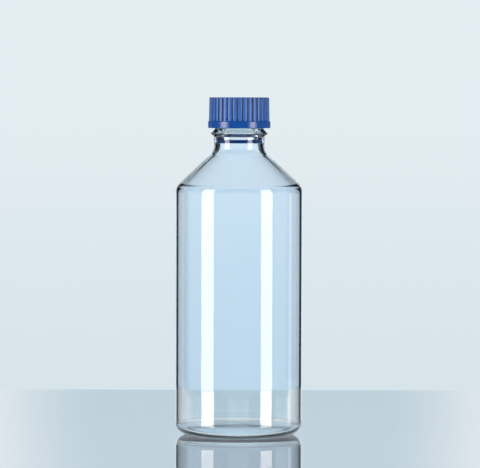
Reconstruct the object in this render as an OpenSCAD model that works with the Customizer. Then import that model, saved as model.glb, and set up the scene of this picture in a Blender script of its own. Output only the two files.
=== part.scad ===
// Laboratory bottle: clear blown glass with a ribbed screw cap, standing on its base.
// Millimetres, +Z up, origin at the middle of the base on the surface that it stands on.

/* [Body] */
// Outside diameter of the straight body
body_d = 110; // [90:1:140]
// Height of the straight body's upper end above the surface
body_h = 210.5; // [120:0.5:300]
// Glass thickness of the body
wall = 2; // [1.6:0.1:4]
// Outside radius of the rounded heel
heel_r = 11; // [7:0.5:18]
// How much thicker the glass is under the heel than at the wall
heel_extra = 1.5; // [0:0.1:2]
// Width of the flat ring that the bottle stands on
foot_w = 2.5; // [1:0.5:6]
// Glass thickness at the middle of the base
base_t = 2.3; // [2:0.1:6]
// Height of the hollow under the base
push_up = 4; // [1:0.5:10]

/* [Shoulder and neck] */
// Outside radius where the body turns into the shoulder
shoulder_r = 10.5; // [5:0.5:15]
// Inside radius of that turn
shoulder_in_r = 3; // [2:0.5:10]
// Glass thickness of the shoulder at its lower end
shoulder_wall = 1.4; // [1:0.1:3]
// Angle between the shoulder's slope and the upright
shoulder_angle = 46.5; // [35:0.5:60]
// How much flatter the shoulder's slope is inside, which thickens it towards the neck
shoulder_taper = 2.5; // [0:0.1:3]
// Radius of the hollow curve between the shoulder and the neck
neck_fillet_r = 10; // [5:0.5:16]
// Length of the plain neck under the bead
neck_h = 7.8; // [4:0.1:30]
// Glass thickness of the plain neck
neck_wall = 3.3; // [2.4:0.1:5]
// How much wider the neck's bore is than the mouth's
bore_step = 2.2; // [1:0.1:4]
// Height from the neck's curve to the step in the bore
bore_step_lead = 2; // [0.5:0.1:5]
// How far the bead stands out of the neck
bead_out = 2.7; // [1.5:0.1:5]
// Radius of the bead's rounded edge
bead_edge_r = 0.9; // [0.4:0.1:1.4]

/* [Threaded mouth] */
// Outside diameter of the glass thread
thread_d = 45; // [38:0.5:60]
// Height of the glass thread above its root
thread_depth = 1.7; // [1.2:0.1:2.2]
// Rise of the thread in one turn
thread_pitch = 4; // [3.5:0.1:6]
// Turns of thread on the glass
thread_turns = 1.75; // [1:0.25:3]
// Height from the bead to the middle of the thread's lower end
thread_lead = 5.9; // [4.5:0.1:10]
// Plain height from the thread's upper end to the rim
rim_h = 8; // [3:0.5:12]
// Glass thickness of the mouth at the thread's root
mouth_wall = 4.3; // [3:0.1:6]
// Radius of the rim's rounded edges
rim_r = 1; // [0.4:0.1:1.4]

/* [Pouring ring] */
// Depth of the ring's sleeve inside the mouth
ring_sleeve_h = 9; // [4:0.5:15]
// Thickness of the ring's sleeve
ring_sleeve_t = 1.2; // [0.8:0.1:2]
// Thickness of the ring's flange on the rim
ring_flange_t = 1.2; // [0.8:0.1:2]
// How far the flange's edge stays inside the thread's root
ring_inset = 0.4; // [0.3:0.1:1.5]

/* [Seal] */
// Thickness of the sealing disc
seal_t = 2; // [1:0.1:4]

/* [Cap] */
// Wall of the cap at the upper end of its grip
cap_wall = 2.9; // [2.2:0.1:4]
// How much wider the grip's radius is at its lower end
cap_taper = 0.35; // [0:0.05:0.8]
// Thickness of the cap's top
cap_top_t = 2.7; // [1.5:0.1:4]
// Radius of the cap's upper edge
cap_edge_r = 0.7; // [0.3:0.1:2]
// Height of the plain band at the cap's lower end
cap_band_h = 6.1; // [3:0.1:10]
// How far the band stands out of the grip
cap_band_out = 0.85; // [0.5:0.05:2]
// Chamfer on the edges of the band
cap_chamfer = 0.5; // [0.2:0.1:0.8]
// Number of ribs around the grip
rib_count = 36; // [24:1:48]
// Half the width of the groove between two ribs, and the radius of its round floor
groove_r = 0.6; // [0.4:0.05:1.1]
// Depth of that groove at the upper end of the grip
groove_depth = 0.95; // [0.5:0.05:1.2]
// Height from the band to the lower end of a groove
groove_lift = 0.4; // [0.2:0.1:2]
// Angle from +X to the first groove
groove_start = 6.4; // [0:0.1:10]
// Turns of thread inside the cap
cap_turns = 1.5; // [1:0.25:2.5]

/* [Clearances] */
// Radial room between the cap's and the glass's threads and walls
thread_gap = 0.5; // [0.35:0.05:0.8]
// Room around the ring's sleeve in the mouth
ring_gap = 0.15; // [0.05:0.05:0.4]
// Room above and below the sealing disc
seal_gap = 0.1; // [0.05:0.05:0.3]
// Room around the sealing disc in the cap
seal_side_gap = 0.3; // [0.2:0.05:0.6]
// Room between the cap's lower edge and the foot of the threaded mouth
skirt_gap = 0.4; // [0.2:0.1:2]

/* [Hidden] */
$fn = 144;
// Steps on each rounded corner and on the floor of a groove, and sections in one turn of thread
corner_steps = 10;
groove_steps = 4;
ridge_steps = 30;
// Length of thread, in sections, over which each end fades into the wall
ridge_fade = 4;
// How deep a thread's root is set into its wall, and the share of its height left at its ends
ridge_sink = 0.4;
ridge_end_share = 0.1;
// Thread widths at the root and at the crest, on the glass and in the cap
glass_root_w = 2.4;
glass_crest_w = 1.2;
cap_root_w = 1.8;
cap_crest_w = 0.8;
// Slopes of the bead's lower and upper sides
bead_low_slope = 42;
bead_up_slope = 45;
// Angle between the side of the step in the bore and the upright
bore_step_slope = 35;
// The lip inside the cap that holds the sealing disc: how far it reaches under the disc
seal_lip = 0.4;
// Overshoot of the cutting shapes
cut_over = 1;

// Radii
body_r = body_d / 2;
body_in_r = body_r - wall;
heel_in_r = heel_r - wall - heel_extra;
root_r = thread_d / 2 - thread_depth;
mouth_r = root_r - mouth_wall;
neck_in_r = mouth_r + bore_step;
neck_r = neck_in_r + neck_wall;
bead_r = neck_r + bead_out;
cap_in_r = thread_d / 2 + thread_gap;
grip_top_r = cap_in_r + cap_wall;
grip_low_r = grip_top_r + cap_taper;
band_r = grip_low_r + cap_band_out;
ring_out_r = mouth_r - ring_gap;
ring_in_r = ring_out_r - ring_sleeve_t;
ring_flange_r = root_r - ring_inset;
seal_r = cap_in_r - seal_side_gap;

// Heights at which the body's, the shoulder's and the neck's lines would meet in
// sharp corners, outside and inside
inner_angle = shoulder_angle + shoulder_taper;
shoulder_z = body_h + shoulder_r * tan(shoulder_angle / 2);
neck_z = shoulder_z + (body_r - neck_r) / tan(shoulder_angle);
inner_shoulder_z =
    shoulder_z + wall / tan(shoulder_angle) - shoulder_wall / sin(shoulder_angle);
inner_neck_z = inner_shoulder_z + (body_in_r - neck_in_r) / tan(inner_angle);

// Centres of the glass's rounded stretches, as [radius, height]
inner_fillet_r = neck_fillet_r + neck_wall;
heel_c = [body_r - heel_r, heel_r];
inner_heel_c = [body_in_r - heel_in_r, heel_r];
shoulder_c = [body_r - shoulder_r, body_h];
inner_shoulder_c =
    [body_in_r - shoulder_in_r, inner_shoulder_z - shoulder_in_r * tan(inner_angle / 2)];
fillet_c = [neck_r + neck_fillet_r, neck_z + neck_fillet_r * tan(shoulder_angle / 2)];
inner_fillet_c =
    [neck_in_r + inner_fillet_r, inner_neck_z + inner_fillet_r * tan(inner_angle / 2)];

// Height between the bead's middle and the foot, at radius foot_r, of one of its sides
function bead_rise(slope, foot_r) =
    let (side_r = bead_r - bead_edge_r * (1 - sin(slope)))
    (side_r - foot_r) * tan(slope) + bead_edge_r * cos(slope);

// Heights of the bore's step, the bead and the threaded mouth
step_low_z = inner_fillet_c.y + bore_step_lead;
step_top_z = step_low_z + bore_step / tan(bore_step_slope);
bead_low_z = fillet_c.y + neck_h;
bead_c_z = bead_low_z + bead_rise(bead_low_slope, neck_r);
mouth_z = bead_c_z + bead_rise(bead_up_slope, root_r);
thread_z = mouth_z + thread_lead;
rim_z = thread_z + thread_turns * thread_pitch + rim_h;

// Heights of the closure
ring_top_z = rim_z + ring_flange_t;
seal_z = ring_top_z + seal_gap;
ceiling_z = seal_z + seal_t + seal_gap;
cap_z = mouth_z + skirt_gap;
cap_top_z = ceiling_z + cap_top_t;
band_top_z = cap_z + cap_band_h;

// Points on an arc about c, from angle a to angle b
function arc(c, r, a, b, steps = corner_steps) =
    [for (i = [0 : steps])
        let (t = a + (b - a) * i / steps)
        [c.x + r * cos(t), c.y + r * sin(t)]];

// Points on a shallow dome from its top on the axis to its edge, without the edge itself
function dome(edge_r, edge_z, top_z) =
    [for (i = [0 : corner_steps - 1])
        let (share = i / corner_steps)
        [edge_r * share, top_z - (top_z - edge_z) * share * share]];

function reversed(points) = [for (i = [len(points) - 1 : -1 : 0]) points[i]];

// Outer line of the glass, from the middle of the base up to the rim
function glass_outside() = concat(
    dome(heel_c.x - foot_w, 0, push_up),
    [[heel_c.x - foot_w, 0]],
    arc(heel_c, heel_r, -90, 0),
    arc(shoulder_c, shoulder_r, 0, shoulder_angle),
    arc(fillet_c, neck_fillet_r, 180 + shoulder_angle, 180),
    [[neck_r, bead_low_z]],
    arc([bead_r - bead_edge_r, bead_c_z], bead_edge_r, bead_low_slope - 90, 90 - bead_up_slope),
    [[root_r, mouth_z]],
    arc([root_r - rim_r, rim_z - rim_r], rim_r, 0, 90));

// Inner line of the glass, from the middle of the floor up to the rim
function glass_inside() = concat(
    dome(inner_heel_c.x, heel_r - heel_in_r, push_up + base_t),
    arc(inner_heel_c, heel_in_r, -90, 0),
    arc(inner_shoulder_c, shoulder_in_r, 0, inner_angle),
    arc(inner_fillet_c, inner_fillet_r, 180 + inner_angle, 180),
    [[neck_in_r, step_low_z], [mouth_r, step_top_z]],
    arc([mouth_r + rim_r, rim_z - rim_r], rim_r, 180, 90));

// A helical ridge that starts on +X at height z, rises by one pitch a turn and
// fades into its wall at both ends; a crest inside the wall's radius faces inwards
module ridge(z, wall_r, crest_r, root_w, crest_w, turns) {
    facing = sign(crest_r - wall_r);
    sunk_r = wall_r - facing * ridge_sink;
    steps = ceil(turns * ridge_steps);
    half_w = facing * [-root_w, -crest_w, crest_w, root_w] / 2;
    points = [for (i = [0 : steps])
        let (share = max(ridge_end_share, min(1, i / ridge_fade, (steps - i) / ridge_fade)))
        let (tip_r = sunk_r + (crest_r - sunk_r) * share)
        let (radii = [sunk_r, tip_r, tip_r, sunk_r])
        let (a = 360 * turns * i / steps)
        for (k = [0 : 3])
            [radii[k] * cos(a), radii[k] * sin(a), z + thread_pitch * a / 360 + half_w[k]]];
    sides = [for (i = [0 : steps - 1]) for (k = [0 : 3])
        let (p = 4 * i + k)
        let (q = 4 * i + (k + 1) % 4)
        each [[p, q, p + 4], [q, q + 4, p + 4]]];
    last = 4 * steps;
    ends = [[3, 2, 1, 0], [last, last + 1, last + 2, last + 3]];
    polyhedron(points, concat(sides, ends));
}

// The bottle: one piece of blown glass with its thread
module glass_bottle() {
    color([0.78, 0.88, 0.96, 0.4])
    union() {
        rotate_extrude()
            polygon(concat(glass_outside(), reversed(glass_inside())));
        ridge(thread_z, root_r, thread_d / 2, glass_root_w, glass_crest_w, thread_turns);
    }
}

// The plastic ring that sits on the rim and makes the last drop break off
module pouring_ring() {
    edge_r = ring_flange_t / 2;
    color([0.05, 0.3, 0.62])
    rotate_extrude()
        polygon(concat(
            [[ring_in_r, rim_z - ring_sleeve_h], [ring_out_r, rim_z - ring_sleeve_h]],
            [[ring_out_r, rim_z]],
            arc([ring_flange_r - edge_r, rim_z + edge_r], edge_r, -90, 90),
            [[ring_in_r, ring_top_z]]));
}

// The soft disc that the cap presses on the ring
module cap_seal() {
    color([0.92, 0.92, 0.9])
    translate([0, 0, seal_z])
        cylinder(r = seal_r, h = seal_t);
}

// Section of the cap without its ribs and its thread
module cap_section() {
    lip_r = seal_r - seal_lip;
    lip_h = cap_in_r - lip_r;
    lip_z = seal_z - seal_gap;
    polygon(concat(
        [[cap_in_r + cap_chamfer, cap_z], [band_r - cap_chamfer, cap_z]],
        [[band_r, cap_z + cap_chamfer], [band_r, band_top_z - cap_chamfer]],
        [[band_r - cap_chamfer, band_top_z], [grip_low_r, band_top_z]],
        arc([grip_top_r - cap_edge_r, cap_top_z - cap_edge_r], cap_edge_r, 0, 90),
        [[0, cap_top_z], [0, ceiling_z], [cap_in_r, ceiling_z]],
        [[cap_in_r, lip_z], [lip_r, lip_z - lip_h], [cap_in_r, lip_z - 2 * lip_h]],
        [[cap_in_r, cap_z + cap_chamfer]]));
}

// The grooves that leave the ribs standing between them
module grip_grooves() {
    floor_c = [grip_top_r - groove_depth + groove_r, 0];
    outline = concat(
        arc(floor_c, groove_r, 90, 270, groove_steps),
        [[band_r, -groove_r], [band_r, groove_r]]);
    for (i = [0 : rib_count - 1])
        rotate(groove_start + 360 * i / rib_count)
        translate([0, 0, band_top_z + groove_lift])
            linear_extrude(cap_top_z - band_top_z + cut_over)
                polygon(outline);
}

// The screw cap: its thread runs midway between the turns of the glass thread
module screw_cap() {
    color([0.04, 0.28, 0.6])
    union() {
        difference() {
            rotate_extrude() cap_section();
            grip_grooves();
        }
        ridge(thread_z - thread_pitch / 2, cap_in_r, root_r + thread_gap,
            cap_root_w, cap_crest_w, cap_turns);
    }
}

glass_bottle();
pouring_ring();
cap_seal();
screw_cap();
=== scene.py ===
"""Looks of a laboratory bottle: clear glass, a ribbed blue screw cap, a pouring ring and a seal."""

import functools
import math

import bmesh
import bpy
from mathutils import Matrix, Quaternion, Vector


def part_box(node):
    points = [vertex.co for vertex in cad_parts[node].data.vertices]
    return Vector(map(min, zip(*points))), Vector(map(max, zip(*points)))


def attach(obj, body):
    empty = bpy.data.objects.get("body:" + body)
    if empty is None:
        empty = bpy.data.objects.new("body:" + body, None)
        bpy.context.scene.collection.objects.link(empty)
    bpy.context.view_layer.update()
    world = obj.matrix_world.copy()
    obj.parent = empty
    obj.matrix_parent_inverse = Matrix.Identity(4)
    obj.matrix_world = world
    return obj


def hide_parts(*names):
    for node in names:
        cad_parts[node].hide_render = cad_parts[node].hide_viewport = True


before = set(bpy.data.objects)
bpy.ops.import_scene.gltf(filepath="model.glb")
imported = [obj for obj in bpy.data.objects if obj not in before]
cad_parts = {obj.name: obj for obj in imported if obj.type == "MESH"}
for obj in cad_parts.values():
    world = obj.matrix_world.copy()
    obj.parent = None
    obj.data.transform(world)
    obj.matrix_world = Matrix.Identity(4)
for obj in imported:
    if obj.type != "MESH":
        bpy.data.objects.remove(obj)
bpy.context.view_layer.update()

# Shapes below are in millimetres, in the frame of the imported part
MM = 0.001

# Glass body, shoulder and neck
BODY_R = 55.0
BODY_H = 210.5
WALL = 2.0
HEEL_R = 11.0
HEEL_IN_R = 7.5
FOOT_W = 2.5
BASE_T = 2.3
PUSH_UP = 4.0
SHOULDER_R = 10.5
SHOULDER_ANGLE = math.radians(46.5)
SHOULDER_IN_ANGLE = math.radians(49)
SHOULDER_IN_R = 3.0
SHOULDER_WALL = 1.4
NECK_R = 22.0
NECK_WALL = 3.3
NECK_FILLET_R = 10.0
NECK_H = 7.8
BEAD_OUT = 2.7
BEAD_EDGE_R = 0.9
BEAD_LOW_SLOPE = math.radians(42)
BEAD_UP_SLOPE = math.radians(45)
BORE_STEP_LEAD = 2.0
BORE_STEP_SLOPE = math.radians(35)

# Threaded mouth
THREAD_R = 22.5
ROOT_R = 20.8
MOUTH_R = 16.5
RIM_R = 1.0
PITCH = 4.0
GLASS_TURNS = 1.75
THREAD_LEAD = 5.9
GLASS_RIDGE_ROOT = 2.4
GLASS_RIDGE_CREST = 1.2

# Closure
SEAL_R = 22.7
RING_IN_R = 15.15
RING_OUT_R = 16.35
RING_FLANGE_R = 20.4
CAP_IN_R = 23.0
CAP_CREST_R = 21.3
CAP_TURNS = 1.5
CAP_RIDGE_ROOT = 1.8
CAP_RIDGE_CREST = 0.8
GRIP_TOP_R = 25.9
GRIP_LOW_R = 26.25
BAND_R = 27.1
BAND_H = 6.1
BAND_EDGE_R = 0.7
CAP_EDGE_R = 0.7
CAP_TOP_T = 2.7
RIB_COUNT = 36
GROOVE_START = math.radians(6.4)
GROOVE_R = 0.6
GROOVE_DEPTH = 0.95
GROOVE_LIFT = 0.4
GROOVE_FLARE = 4
RIB_CROWN = 0.35
RIB_BLEND = 0.2

# Roundings that soften the corners of the solids
SOFT_R = 0.8
FINE_R = 0.3

# Tolerance within which two radii count as the same wall, and rows that carry a thread
SAME_WALL = 0.01
THREAD_ROW = 0.22

# Elevations, in degrees, between which the backdrop changes tone
HORIZON = (-6.0, 0.8)

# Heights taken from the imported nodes
RIM_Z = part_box("glass_bottle")[1].z / MM
RING_LOW_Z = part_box("pouring_ring")[0].z / MM
RING_TOP_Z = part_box("pouring_ring")[1].z / MM
SEAL_LOW_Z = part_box("cap_seal")[0].z / MM
SEAL_TOP_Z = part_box("cap_seal")[1].z / MM
CAP_LOW_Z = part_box("screw_cap")[0].z / MM
CAP_TOP_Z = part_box("screw_cap")[1].z / MM


# Outlines

def unit(p, q):
    """Direction from p to q in the plane of an outline."""
    length = math.dist(p, q)
    return ((q[0] - p[0]) / length, (q[1] - p[1]) / length)


def rounded(corners, step=math.radians(6)):
    """Outline through (radius, height, rounding) corners, with each corner turned into an arc."""
    points = [corners[0][:2]]
    for before, corner, after in zip(corners, corners[1:], corners[2:]):
        spot, rounding = corner[:2], corner[2]
        back, ahead = unit(spot, before[:2]), unit(spot, after[:2])
        half = math.acos(max(-1, min(1, back[0] * ahead[0] + back[1] * ahead[1]))) / 2
        turn = math.pi - 2 * half
        if rounding == 0 or turn < math.radians(0.5):
            points.append(spot)
            continue
        inward = unit((0, 0), (back[0] + ahead[0], back[1] + ahead[1]))
        depth = rounding / math.sin(half)
        centre = (spot[0] + inward[0] * depth, spot[1] + inward[1] * depth)
        middle = math.atan2(-inward[1], -inward[0])
        side = math.copysign(1, back[0] * ahead[1] - back[1] * ahead[0])
        count = max(2, math.ceil(turn / step))
        for i in range(count + 1):
            a = middle - side * turn * (i / count - 0.5)
            points.append((centre[0] + rounding * math.cos(a), centre[1] + rounding * math.sin(a)))
    points.append(corners[-1][:2])
    return points


def dome(radius, top_z, edge_r, steps=14):
    """Points of a dome of that radius, from its top on the axis to edge_r."""
    span = math.asin(edge_r / radius)
    return [
        (radius * math.sin(span * i / steps), top_z - radius * (1 - math.cos(span * i / steps)))
        for i in range(steps + 1)
    ]


def divided(points, longest, guard=0.4):
    """The outline with its straight stretches cut up, and guard points by their ends."""
    out = [points[0]]
    for p, q in zip(points, points[1:]):
        length = math.dist(p, q)
        if length > 3 * guard:
            cuts = max(1, math.ceil((length - 2 * guard) / longest(p, q)))
            places = [guard + (length - 2 * guard) * i / cuts for i in range(cuts + 1)]
            way = unit(p, q)
            out += [(p[0] + way[0] * s, p[1] + way[1] * s) for s in places]
        out.append(q)
    return out


def linked(mesh, name):
    """Object made of a mesh that is finished, in the scene."""
    data = bpy.data.meshes.new(name)
    mesh.to_mesh(data)
    mesh.free()
    piece = bpy.data.objects.new(name, data)
    bpy.context.collection.objects.link(piece)
    return piece


def lathe(name, points, angles, bend=None):
    """Closed mesh of an outline turned about Z. bend gives a point's radius at an angle."""
    mesh = bmesh.new()
    rows = []
    for r, z in points:
        if r < 1e-6:
            rows.append([mesh.verts.new((0, 0, z * MM))] * len(angles))
            continue
        radii = [bend(r, z, a) if bend else r for a in angles]
        rows.append([
            mesh.verts.new((s * MM * math.cos(a), s * MM * math.sin(a), z * MM))
            for s, a in zip(radii, angles)
        ])
    closed = points[0][0] > 1e-6
    for low, high in zip(rows, rows[1:] + rows[:1] if closed else rows[1:]):
        for i in range(len(angles)):
            j = (i + 1) % len(angles)
            corners = [low[i], low[j], high[j], high[i]]
            corners = [v for k, v in enumerate(corners) if v not in corners[:k]]
            mesh.faces.new(corners).smooth = True
    bmesh.ops.recalc_face_normals(mesh, faces=mesh.faces)
    return linked(mesh, name)


def even_angles(count):
    return [2 * math.pi * i / count for i in range(count)]


def ridge_height(z, angle, start_z, turns, root_w, crest_w):
    """Share of a thread's full height at a point of its wall, from 0 to 1."""
    fade = math.radians(48)
    height = 0.0
    for lap in range(math.ceil(turns) + 1):
        along = angle + 2 * math.pi * lap
        if along > 2 * math.pi * turns:
            break
        off = abs(z - start_z - PITCH * along / (2 * math.pi))
        flank = (root_w / 2 - off) / ((root_w - crest_w) / 2)
        ends = min(along, 2 * math.pi * turns - along) / fade
        share = max(0.0, min(1.0, flank)) * min(1.0, ends)
        height = max(height, share * share * (3 - 2 * share))
    return height


# Heights and corners of the glass
half_turn = math.tan(SHOULDER_ANGLE / 2)
slope = math.tan(SHOULDER_ANGLE)
shoulder_z = BODY_H + SHOULDER_R * half_turn
neck_corner_z = shoulder_z + (BODY_R - NECK_R) / slope
fillet_z = neck_corner_z + NECK_FILLET_R * half_turn
bead_low_z = fillet_z + NECK_H
bead_r = NECK_R + BEAD_OUT
bead_side_r = bead_r - BEAD_EDGE_R * (1 - math.sin(BEAD_LOW_SLOPE))
bead_c_z = (
    bead_low_z + (bead_side_r - NECK_R) * math.tan(BEAD_LOW_SLOPE)
    + BEAD_EDGE_R * math.cos(BEAD_LOW_SLOPE)
)
bead_turn = math.pi - BEAD_LOW_SLOPE - BEAD_UP_SLOPE
bead_mid = (BEAD_LOW_SLOPE - BEAD_UP_SLOPE) / 2
bead_reach = BEAD_EDGE_R / math.cos(bead_turn / 2)
bead_tip_r = bead_r - BEAD_EDGE_R + bead_reach * math.cos(bead_mid)
bead_tip_z = bead_c_z + bead_reach * math.sin(bead_mid)
mouth_z = bead_tip_z + (bead_tip_r - ROOT_R) * math.tan(BEAD_UP_SLOPE)
thread_z = mouth_z + THREAD_LEAD
neck_in_r = NECK_R - NECK_WALL
body_in_r = BODY_R - WALL
inner_half_turn = math.tan(SHOULDER_IN_ANGLE / 2)
inner_shoulder_z = shoulder_z + WALL / slope - SHOULDER_WALL / math.sin(SHOULDER_ANGLE)
inner_corner_z = inner_shoulder_z + (body_in_r - neck_in_r) / math.tan(SHOULDER_IN_ANGLE)
inner_fillet_r = NECK_FILLET_R + NECK_WALL
step_low_z = inner_corner_z + inner_fillet_r * inner_half_turn + BORE_STEP_LEAD
step_top_z = step_low_z + (neck_in_r - MOUTH_R) / math.tan(BORE_STEP_SLOPE)


def glass_outline():
    """The glass from the middle of the base, out and up to the rim, and back down inside."""
    heel_c = BODY_R - HEEL_R
    foot_in_r = heel_c - FOOT_W
    foot_dome_r = (foot_in_r ** 2 + PUSH_UP ** 2) / (2 * PUSH_UP)
    outside = [(r, z, 0) for r, z in dome(foot_dome_r, PUSH_UP, foot_in_r)]
    outside[-1] = (foot_in_r, 0, SOFT_R)
    outside += [
        (BODY_R, 0, HEEL_R),
        (BODY_R, shoulder_z, SHOULDER_R),
        (NECK_R, neck_corner_z, NECK_FILLET_R),
        (NECK_R, bead_low_z, SOFT_R),
        (bead_tip_r, bead_tip_z, BEAD_EDGE_R),
        (ROOT_R, mouth_z, SOFT_R),
        (ROOT_R, RIM_Z, RIM_R),
    ]
    inner_heel_c = body_in_r - HEEL_IN_R
    floor_z = PUSH_UP + BASE_T
    drop = HEEL_R - floor_z
    floor_r = (inner_heel_c ** 2 + drop ** 2 - HEEL_IN_R ** 2) / (2 * (HEEL_IN_R - drop))
    edge_r = inner_heel_c * floor_r / (floor_r + HEEL_IN_R)
    floor = dome(floor_r, floor_z, edge_r)
    tilt = math.asin(edge_r / floor_r)
    corner_rise = HEEL_IN_R * math.tan((math.pi / 2 + tilt) / 2)
    inside = [
        (MOUTH_R, RIM_Z, RIM_R),
        (MOUTH_R, step_top_z, SOFT_R),
        (neck_in_r, step_low_z, SOFT_R),
        (neck_in_r, inner_corner_z, inner_fillet_r),
        (body_in_r, inner_shoulder_z, SHOULDER_IN_R),
        (body_in_r, HEEL_R - corner_rise, HEEL_IN_R),
        floor[-1] + (0,),
    ]
    return rounded(outside + inside, step=math.radians(2)) + floor[-2::-1]


def glass_step(p, q):
    """Longest stretch between two rows of the glass: short ones carry the thread."""
    on_thread = min(p[0], q[0]) > MOUTH_R + RIM_R and min(p[1], q[1]) > mouth_z
    return THREAD_ROW if on_thread else 8.0


def glass_bend(r, z, angle):
    if abs(r - ROOT_R) > SAME_WALL or z < mouth_z:
        return r
    share = ridge_height(z, angle, thread_z, GLASS_TURNS, GLASS_RIDGE_ROOT, GLASS_RIDGE_CREST)
    return r + (THREAD_R - ROOT_R) * share


def make_glass():
    outline = divided(glass_outline(), glass_step)
    return lathe("clear_bottle", outline, even_angles(256), glass_bend)


def make_ring():
    flange_t = RING_TOP_Z - RIM_Z
    outline = rounded([
        (RING_IN_R, (RING_LOW_Z + RING_TOP_Z) / 2, 0),
        (RING_IN_R, RING_LOW_Z, FINE_R),
        (RING_OUT_R, RING_LOW_Z, FINE_R),
        (RING_OUT_R, RIM_Z, FINE_R),
        (RING_FLANGE_R, RIM_Z, flange_t * 0.49),
        (RING_FLANGE_R, RING_TOP_Z, flange_t * 0.49),
        (RING_IN_R, RING_TOP_Z, SOFT_R),
        (RING_IN_R, (RING_LOW_Z + RING_TOP_Z) / 2 + FINE_R, 0),
    ], step=math.radians(15))
    return lathe("drip_ring", divided(outline, lambda p, q: 4.0, guard=0.15), even_angles(128))


def make_seal():
    groove_r = RING_FLANGE_R - SOFT_R
    outline = rounded([
        (0, SEAL_LOW_Z, 0),
        (RING_IN_R - SOFT_R, SEAL_LOW_Z, SOFT_R),
        (RING_IN_R, SEAL_LOW_Z + FINE_R, SOFT_R),
        (groove_r, SEAL_LOW_Z + FINE_R, SOFT_R),
        (groove_r + SOFT_R, SEAL_LOW_Z, SOFT_R),
        (SEAL_R, SEAL_LOW_Z, FINE_R),
        (SEAL_R, SEAL_TOP_Z, FINE_R),
        (0, SEAL_TOP_Z, 0),
    ], step=math.radians(15))
    return lathe("seal_disc", divided(outline, lambda p, q: 4.0, guard=0.15), even_angles(128))


def cap_outline():
    """The cap from the middle of its top, down its grip and band, and up inside to its ceiling."""
    band_top_z = CAP_LOW_Z + BAND_H
    ceiling_z = CAP_TOP_Z - CAP_TOP_T
    lip_grip, seal_play = 0.4, 0.1
    lip_r = SEAL_R - lip_grip
    lip_h = CAP_IN_R - lip_r
    lip_z = SEAL_LOW_Z - seal_play
    recess_r, recess = 20.5, 0.3
    gate_r, gate = 1.6, 0.18
    return rounded([
        (0, CAP_TOP_Z - recess + gate, 0),
        (gate_r, CAP_TOP_Z - recess + gate, gate * 0.6),
        (gate_r + gate, CAP_TOP_Z - recess, gate * 0.6),
        (recess_r, CAP_TOP_Z - recess, FINE_R),
        (recess_r + recess, CAP_TOP_Z, FINE_R),
        (GRIP_TOP_R, CAP_TOP_Z, CAP_EDGE_R),
        (GRIP_LOW_R, band_top_z, FINE_R),
        (BAND_R, band_top_z, BAND_EDGE_R),
        (BAND_R, CAP_LOW_Z, BAND_EDGE_R),
        (CAP_IN_R, CAP_LOW_Z, BAND_EDGE_R),
        (CAP_IN_R, lip_z - 2 * lip_h, FINE_R),
        (lip_r, lip_z - lip_h, FINE_R),
        (CAP_IN_R, lip_z, FINE_R),
        (CAP_IN_R, ceiling_z, FINE_R),
        (0, ceiling_z, 0),
    ])


def cap_step(p, q):
    """Longest stretch between two rows of the cap: short ones carry the thread inside."""
    wall_play = 0.1
    inside = max(p[0], q[0]) < CAP_IN_R + wall_play and abs(p[0] - q[0]) < wall_play
    return THREAD_ROW if inside else 2.0


def cap_angles(per_rib=24, crowding=0.4):
    """Angles around the cap, crowded at the grooves."""
    pitch = 2 * math.pi / RIB_COUNT
    shares = [2 * i / per_rib - 1 for i in range(per_rib)]
    spread = [u - crowding * math.sin(math.pi * u) / math.pi for u in shares]
    return [
        GROOVE_START + pitch * (i + s / 2) for i in range(RIB_COUNT) for s in spread
    ]


def soft_min(a, b, blend):
    """The lesser of two radii, with the change-over rounded."""
    share = max(0.0, blend - abs(a - b)) / blend
    return min(a, b) - share * share * blend / 4


def cap_bend(r, z, angle):
    """Radius of the cap's wall at an angle: thread inside, ribs and grooves outside."""
    band_top_z = CAP_LOW_Z + BAND_H
    wall_play, thread_gap = 0.1, 3
    if r < CAP_IN_R + wall_play:
        turned = angle % (2 * math.pi)
        start_z = thread_z - PITCH / 2
        share = ridge_height(z, turned, start_z, CAP_TURNS, CAP_RIDGE_ROOT, CAP_RIDGE_CREST)
        on_wall = abs(r - CAP_IN_R) < SAME_WALL and z < SEAL_LOW_Z - thread_gap
        return r - (CAP_IN_R - CAP_CREST_R) * share if on_wall else r
    if z < band_top_z + GROOVE_LIFT or r > GRIP_LOW_R + SAME_WALL:
        return r
    pitch = 2 * math.pi / RIB_COUNT
    off = (angle - GROOVE_START + pitch / 2) % pitch - pitch / 2
    centre_r = GRIP_TOP_R - GROOVE_DEPTH + GROOVE_R
    across = centre_r * math.sin(off)
    inward = math.sqrt(max(0.0, GROOVE_R ** 2 - across ** 2))
    beyond = max(0.0, abs(across) - GROOVE_R)
    groove_wall = centre_r * math.cos(off) - inward + beyond * GROOVE_FLARE
    from_rib = (pitch / 2 - abs(off)) / (pitch / 2 - GROOVE_R / centre_r)
    on_grip = max(0.0, min(1.0, (r - GRIP_TOP_R) / CAP_EDGE_R + 2))
    crowned = r - RIB_CROWN * on_grip * from_rib ** 2
    return soft_min(crowned, groove_wall, RIB_BLEND)


def make_cap():
    outline = divided(cap_outline(), cap_step, guard=0.3)
    return lathe("ribbed_cap", outline, cap_angles(), cap_bend)


# Shader nodes

def fill(tree, socket, value):
    """Links a socket to another one, or gives it a number or a colour."""
    if isinstance(value, tuple):
        socket.default_value = (*value, 1)
    elif isinstance(value, (int, float)):
        socket.default_value = value
    else:
        tree.links.new(value, socket)


def calc(tree, kind, *values):
    """Result of one calculation on numbers or sockets."""
    node = tree.nodes.new("ShaderNodeMath")
    node.operation = kind
    for socket, value in zip(node.inputs, values):
        fill(tree, socket, value)
    return node.outputs[0]


def both(tree, *shares):
    """The shares multiplied together."""
    return functools.reduce(lambda a, b: calc(tree, "MULTIPLY", a, b), shares)


def either(tree, *shares):
    """The greatest of the shares."""
    return functools.reduce(lambda a, b: calc(tree, "MAXIMUM", a, b), shares)


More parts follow.
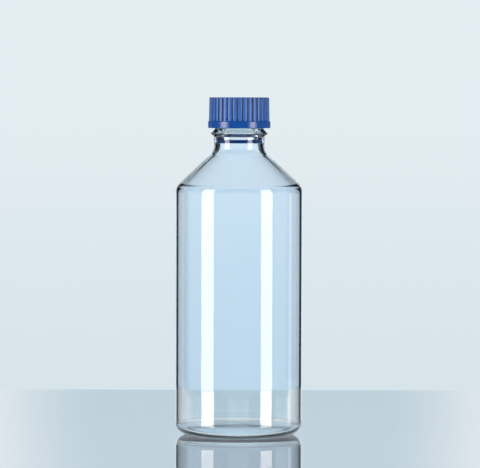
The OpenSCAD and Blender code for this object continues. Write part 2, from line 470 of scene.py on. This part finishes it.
def smooth(tree, value, low, high):
    """0 to 1 as the value goes from low to high, eased at both ends."""
    node = tree.nodes.new("ShaderNodeMapRange")
    node.interpolation_type = "SMOOTHSTEP"
    node.inputs["From Min"].default_value = low
    node.inputs["From Max"].default_value = high
    tree.links.new(value, node.inputs["Value"])
    return node.outputs["Result"]


def mix(tree, factor, first, second, kind="MIX"):
    """Two colours blended by a factor."""
    node = tree.nodes.new("ShaderNodeMix")
    node.data_type = "RGBA"
    node.blend_type = kind
    tree.links.new(factor, node.inputs["Factor"])
    first_colour, second_colour = node.inputs[6], node.inputs[7]
    fill(tree, first_colour, first)
    fill(tree, second_colour, second)
    return node.outputs[2]


def mix_shaders(tree, factor, first, second):
    node = tree.nodes.new("ShaderNodeMixShader")
    for socket, value in zip(node.inputs, (factor, first, second)):
        tree.links.new(value, socket)
    return node.outputs["Shader"]


def axes(tree, coordinates):
    """X, Y and Z of the coordinates of that name."""
    place = tree.nodes.new("ShaderNodeTexCoord")
    node = tree.nodes.new("ShaderNodeSeparateXYZ")
    tree.links.new(place.outputs[coordinates], node.inputs[0])
    return node.outputs["X"], node.outputs["Y"], node.outputs["Z"]


def noise(tree, scale, detail=3.0, stretch=(1, 1, 1)):
    """Noise over the object's own coordinates, stretched along its axes."""
    place = tree.nodes.new("ShaderNodeTexCoord")
    mapping = tree.nodes.new("ShaderNodeMapping")
    mapping.inputs["Scale"].default_value = stretch
    texture = tree.nodes.new("ShaderNodeTexNoise")
    texture.inputs["Scale"].default_value = scale
    texture.inputs["Detail"].default_value = detail
    tree.links.new(place.outputs["Object"], mapping.inputs["Vector"])
    tree.links.new(mapping.outputs["Vector"], texture.inputs["Vector"])
    return texture.outputs["Fac"]


def ramp(tree, value, low, high, spread=(0.3, 0.7)):
    """Colours from low to high as the value goes across the spread."""
    node = tree.nodes.new("ShaderNodeValToRGB")
    for stop, place, colour in zip(node.color_ramp.elements, spread, (low, high)):
        stop.position = place
        stop.color = (*colour, 1)
    tree.links.new(value, node.inputs["Fac"])
    return node.outputs["Color"]


def spread_value(tree, value, low, high):
    """The value, which runs from 0 to 1, carried to run from low to high."""
    node = tree.nodes.new("ShaderNodeMapRange")
    node.inputs["To Min"].default_value = low
    node.inputs["To Max"].default_value = high
    tree.links.new(value, node.inputs["Value"])
    return node.outputs["Result"]


def bump(tree, shader, value, strength, distance):
    node = tree.nodes.new("ShaderNodeBump")
    node.inputs["Strength"].default_value = strength
    node.inputs["Distance"].default_value = distance
    tree.links.new(value, node.inputs["Height"])
    tree.links.new(node.outputs["Normal"], shader.inputs["Normal"])


def mirrored_in_glass(tree, depth):
    """1 for light that was mirrored once and went through more than depth glass surfaces."""
    path = tree.nodes.new("ShaderNodeLightPath")
    mirrored = calc(tree, "GREATER_THAN", path.outputs["Glossy Depth"], 0.5)
    deep = calc(tree, "GREATER_THAN", path.outputs["Transmission Depth"], depth)
    return both(tree, mirrored, deep)


# Materials

def new_material(name):
    """A material, its tree, its Principled shader and its output."""
    material = bpy.data.materials.new(name)
    material.use_nodes = True
    tree = material.node_tree
    tree.nodes.clear()
    shader = tree.nodes.new("ShaderNodeBsdfPrincipled")
    output = tree.nodes.new("ShaderNodeOutputMaterial")
    tree.links.new(shader.outputs["BSDF"], output.inputs["Surface"])
    return material, tree, shader, output


def glass_material():
    """Clear glass with a faint blue tint and the slow waviness of a blown wall."""
    material, tree, shader, output = new_material("clear_glass")
    shader.inputs["Transmission Weight"].default_value = 1.0
    shader.inputs["IOR"].default_value = 1.473
    tint = ramp(tree, noise(tree, 9.0), (0.93, 0.975, 1.0), (0.95, 0.985, 1.0))
    tree.links.new(tint, shader.inputs["Base Color"])
    polish = spread_value(tree, noise(tree, 60.0), 0.0, 0.012)
    tree.links.new(polish, shader.inputs["Roughness"])
    waves = noise(tree, 18.0, detail=1.0, stretch=(1, 1, 0.35))
    bump(tree, shader, waves, 0.03, 0.0006)
    path = tree.nodes.new("ShaderNodeLightPath")
    clear = tree.nodes.new("ShaderNodeBsdfTransparent")
    clear.inputs["Color"].default_value = (0.76, 0.80, 0.83, 1)
    surface = mix_shaders(
        tree, path.outputs["Is Shadow Ray"], shader.outputs["BSDF"], clear.outputs["BSDF"])
    tree.links.new(surface, output.inputs["Surface"])
    return material


def painted_crest_sheen(tree, tone, height, low_r, high_r, colour):
    """The tone, turning into the colour from low_r to high_r off the Z axis, above a height: a
    painted sheen on the rib crests.
    """
    x, y, z = axes(tree, "Object")
    radius = calc(tree, "SQRT", calc(tree, "ADD", both(tree, x, x), both(tree, y, y)))
    share = smooth(tree, radius, low_r * MM, high_r * MM)
    above = calc(tree, "GREATER_THAN", z, height * MM)
    return mix(tree, both(tree, share, above), tone, colour)


def plastic_material(name, low, high, rough, specular, grain, finishes_and_painted_tone=(), sheen_crests=None):
    """Moulded plastic: a slightly cloudy colour and a fine moulded grain.

    Each finish is a height in millimetres, and the added roughness and the gain in colour above it,
    painted onto the tone.
    The crests are a height, two radii between which the ribs grow paler as a painted sheen, and the
    colour of their crests.
    """
    material, tree, shader, _ = new_material(name)
    shader.inputs["Specular IOR Level"].default_value = specular
    shader.inputs["Specular Tint"].default_value = (0.85, 0.93, 1.0, 1)
    tone = ramp(tree, noise(tree, 55.0), low, high)
    gloss = spread_value(tree, noise(tree, 700.0), rough - 0.06, rough + 0.06)
    # The colour gain is painted: on the cap's grip it darkens the grooves as painted shade
    for height, added_rough, gain in finishes_and_painted_tone:
        above = calc(tree, "GREATER_THAN", axes(tree, "Object")[2], height * MM)
        gloss = calc(tree, "MULTIPLY_ADD", above, added_rough, gloss)
        tone = mix(tree, above, tone, (gain, gain, gain), kind="MULTIPLY")
    # Rib crests paler than the grooves: a painted sheen
    if sheen_crests:
        tone = painted_crest_sheen(tree, tone, *sheen_crests)
    tree.links.new(tone, shader.inputs["Base Color"])
    tree.links.new(gloss, shader.inputs["Roughness"])
    bump(tree, shader, noise(tree, 2600.0, detail=2.0), grain, 0.0001)
    return material


def table_material():
    """Pale table top, glossy at a low angle and matt at a steep one or to light mirrored in glass."""
    material, tree, shader, output = new_material("pale_table")
    shader.inputs["Specular IOR Level"].default_value = 0.5
    shader.inputs["Coat Weight"].default_value = 1.0
    shader.inputs["Coat IOR"].default_value = 2.0
    shader.inputs["Coat Roughness"].default_value = 0.02
    tone = ramp(tree, noise(tree, 4.0), (0.40, 0.47, 0.53), (0.42, 0.49, 0.55))
    tree.links.new(tone, shader.inputs["Base Color"])
    gloss = spread_value(tree, noise(tree, 12.0), 0.02, 0.04)
    tree.links.new(gloss, shader.inputs["Roughness"])
    weight = tree.nodes.new("ShaderNodeLayerWeight")
    steep = smooth(tree, weight.outputs["Facing"], 0.85, 0.77)
    matt = tree.nodes.new("ShaderNodeBsdfDiffuse")
    tree.links.new(mix(tree, steep, tone, (0.67, 0.81, 0.88)), matt.inputs["Color"])
    dull = either(tree, steep, mirrored_in_glass(tree, 3.5))
    surface = mix_shaders(tree, dull, shader.outputs["BSDF"], matt.outputs["BSDF"])
    tree.links.new(surface, output.inputs["Surface"])
    return material


# Stage, lights and camera

def make_table():
    """A slab with rounded corners under the bottle."""
    half, corner_r, thick, gap = 0.402, 0.2, 0.02, 0.0001
    corner_steps = 16
    mesh = bmesh.new()
    ring = []
    for quarter in range(4):
        side_x = 1 if quarter in (0, 3) else -1
        side_y = 1 if quarter in (0, 1) else -1
        for i in range(corner_steps + 1):
            a = math.pi / 2 * (quarter + i / corner_steps)
            x = side_x * (half - corner_r) + corner_r * math.cos(a)
            y = side_y * (half - corner_r) + corner_r * math.sin(a)
            ring.append(mesh.verts.new((x, y, -gap)))
    top = mesh.faces.new(ring)
    slab = bmesh.ops.extrude_face_region(mesh, geom=[top])
    low = [v for v in slab["geom"] if isinstance(v, bmesh.types.BMVert)]
    bmesh.ops.translate(mesh, verts=low, vec=(0, 0, -thick))
    bmesh.ops.recalc_face_normals(mesh, faces=mesh.faces)
    table = linked(mesh, "table")
    table.data.materials.append(table_material())


def make_strip(name, azimuth, width, radiance, distance=1.1, low=-0.25, high=0.9):
    """Upright strip light at an azimuth from the front, in degrees, facing the bottle's axis."""
    light = bpy.data.lights.new(name, "AREA")
    light.shape = "RECTANGLE"
    light.size = width
    light.size_y = high - low
    light.energy = radiance * math.pi * light.size * light.size_y
    light.color = (1.0, 0.88, 0.84)
    lamp = bpy.data.objects.new(name, light)
    a = math.radians(azimuth)
    lamp.location = (distance * math.sin(a), -distance * math.cos(a), (low + high) / 2)
    inward = Vector((-math.sin(a), math.cos(a), 0))
    lamp.rotation_mode = "QUATERNION"
    lamp.rotation_quaternion = inward.to_track_quat("-Z", "Y")
    lamp.visible_camera = False
    lamp.visible_transmission = False
    bpy.context.collection.objects.link(lamp)


def off_nearest(tree, azimuth, period, centre=0):
    """Degrees from an azimuth to the nearest of the centres that repeat every period."""
    moved = calc(tree, "ADD", azimuth, period / 2 - centre)
    turned = calc(tree, "FLOORED_MODULO", moved, period)
    return calc(tree, "SUBTRACT", turned, period / 2)


def window(tree, off, left, right, soft=1.5):
    """1 from left to right, with soft edges, and 0 outside."""
    opened = smooth(tree, off, left - soft, left + soft)
    return both(tree, opened, smooth(tree, off, right + soft, right - soft))


def seen_through(tree, azimuth, elevation):
    """What the glass shows of the studio: a lit backdrop between dark panels."""
    dark = (0.004, 0.008, 0.012)
    lit_low, lit_high = (0.615, 0.765, 0.89), (0.77, 0.89, 1.0)
    lit_in_mirror = (0.405, 0.505, 0.59)
    quarter = off_nearest(tree, azimuth, 90)
    low = both(tree, window(tree, quarter, -17.5, 15.5), smooth(tree, elevation, -1.5, -2.2))
    level = both(tree, window(tree, quarter, -14.5, 14), smooth(tree, elevation, 21.8, 20.2))
    high = window(tree, quarter, -10, 9)
    right_side = window(tree, off_nearest(tree, azimuth, 360, 142.5), -82.5, 82.5)
    seen = both(tree, either(tree, low, level, high, right_side), smooth(tree, elevation, 65, 50))
    downward = either(tree, window(tree, off_nearest(tree, azimuth, 45), -16, 13), 0.25)
    lit = mix(tree, smooth(tree, elevation, *HORIZON), lit_low, lit_high)
    lit = mix(tree, mirrored_in_glass(tree, 2.5), lit, lit_in_mirror)
    return mix(
        tree, smooth(tree, elevation, -9, -12), mix(tree, seen, dark, lit),
        mix(tree, downward, dark, lit))


def seen_mirrored(tree, azimuth, elevation):
    """What the surfaces mirror of the studio: pale panels in dark surroundings."""
    dark = (0.03, 0.035, 0.04)
    panel, table_panel = (0.95, 0.98, 1.0), (0.575, 0.72, 0.805)
    quarter = off_nearest(tree, azimuth, 90)
    to_side = calc(tree, "ABSOLUTE", azimuth)
    below_ceiling = smooth(tree, elevation, 45, 30)
    level_panel = both(tree, window(tree, quarter, -19, 19), smooth(tree, elevation, 12, 9))
    left_panel = both(
        tree, window(tree, off_nearest(tree, azimuth, 360, -45), -12, 12),
        smooth(tree, elevation, 16, 19))
    rear_panel = both(
        tree, window(tree, off_nearest(tree, azimuth, 360, 135), -12, 12),
        smooth(tree, elevation, 8, 10))
    high_panel = either(tree, left_panel, rear_panel)
    upward = both(
        tree, smooth(tree, elevation, 0, 2), below_ceiling, either(tree, level_panel, high_panel))
    ahead = both(tree, smooth(tree, to_side, 20, 15), below_ceiling)
    beside = both(tree, window(tree, to_side, 36, 62), smooth(tree, elevation, -1.2, -2))
    on_table = both(
        tree, window(tree, quarter, -4, 4), smooth(tree, elevation, 0.5, 2),
        smooth(tree, elevation, 9, 7.5))
    pale = mix(tree, either(tree, on_table, high_panel), panel, table_panel)
    return mix(tree, either(tree, upward, ahead, beside), dark, pale)


def make_world():
    """Pale studio: a plain backdrop for the eye, with panels that the glass shows and mirrors."""
    backdrop_low, backdrop_high = (0.68, 0.775, 0.823), (0.775, 0.847, 0.888)
    ambient = (0.25, 0.26, 0.27)
    world = bpy.data.worlds.new("studio")
    bpy.context.scene.world = world
    world.use_nodes = True
    tree = world.node_tree
    tree.nodes.clear()
    x, y, z = axes(tree, "Generated")
    azimuth = calc(tree, "DEGREES", calc(tree, "ARCTAN2", x, y))
    elevation = calc(tree, "DEGREES", calc(tree, "ARCSINE", z))
    backdrop = mix(tree, smooth(tree, elevation, *HORIZON), backdrop_low, backdrop_high)
    path = tree.nodes.new("ShaderNodeLightPath")
    mirrored = seen_mirrored(tree, azimuth, elevation)
    colour = mix(tree, path.outputs["Is Glossy Ray"], ambient, mirrored)
    through = seen_through(tree, azimuth, elevation)
    colour = mix(tree, path.outputs["Is Transmission Ray"], colour, through)
    scattered = calc(tree, "MINIMUM", path.outputs["Diffuse Depth"], 1)
    colour = mix(tree, scattered, colour, ambient)
    colour = mix(tree, path.outputs["Is Camera Ray"], colour, backdrop)
    background = tree.nodes.new("ShaderNodeBackground")
    output = tree.nodes.new("ShaderNodeOutputWorld")
    tree.links.new(colour, background.inputs["Color"])
    tree.links.new(background.outputs["Background"], output.inputs["Surface"])


def make_camera():
    """Long lens a little above the cap, looking slightly down, as the photograph was taken."""
    off_axis, distance, height, aim_z = 0.0009, 2.72, 0.2965, 0.174
    data = bpy.data.cameras.new("main")
    data.lens = 235.1
    data.sensor_width = 36
    camera = bpy.data.objects.new("main", data)
    camera.location = (off_axis, -distance, height)
    target = Vector((off_axis, 0, aim_z))
    camera.rotation_mode = "QUATERNION"
    roll = Quaternion((0, 0, 1), math.radians(0.15))
    camera.rotation_quaternion = (target - camera.location).to_track_quat("-Z", "Y") @ roll
    bpy.context.collection.objects.link(camera)
    bpy.context.scene.camera = camera


def dress(piece, node, body, material):
    """The piece takes a node's place on its body, with the material given."""
    piece.data.materials.append(material)
    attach(piece, body)
    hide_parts(node)


dress(make_glass(), "glass_bottle", "bottle", glass_material())
ring_blue = plastic_material(
    "ring_plastic", (0.008, 0.07, 0.27), (0.012, 0.085, 0.31), rough=0.3, specular=0.4, grain=0.1)
dress(make_ring(), "pouring_ring", "bottle", ring_blue)
seal_white = plastic_material(
    "seal_liner", (0.68, 0.68, 0.64), (0.76, 0.76, 0.72), rough=0.6, specular=0.3, grain=0.3)
dress(make_seal(), "cap_seal", "seal", seal_white)
grip_low_z = CAP_LOW_Z + BAND_H
top_face_z = CAP_TOP_Z - 0.32
# The cap's grip is painted 0.6 times darker, which stays as painted shade in the grooves; its rib
# crests turn paler as a painted sheen; its top face is 2.1 times lighter
cap_blue = plastic_material(
    "cap_plastic", (0.0005, 0.042, 0.20), (0.001, 0.05, 0.235), rough=0.22, specular=0.5, grain=0.08,
    finishes_and_painted_tone=[(grip_low_z, 0.15, 0.6), (top_face_z, 0.3, 2.1)],
    sheen_crests=(grip_low_z, 25.5, 25.95, (0.012, 0.085, 0.31)))
dress(make_cap(), "screw_cap", "cap", cap_blue)

make_table()
make_strip("left_strip", -57.6, 0.49, 10.4)
make_strip("right_strip", 50.8, 0.43, 10.4)
make_strip("far_strip", 105, 0.17, 2.0, high=0.2)
make_world()
make_camera()
bpy.context.scene.view_settings.view_transform = "Standard"
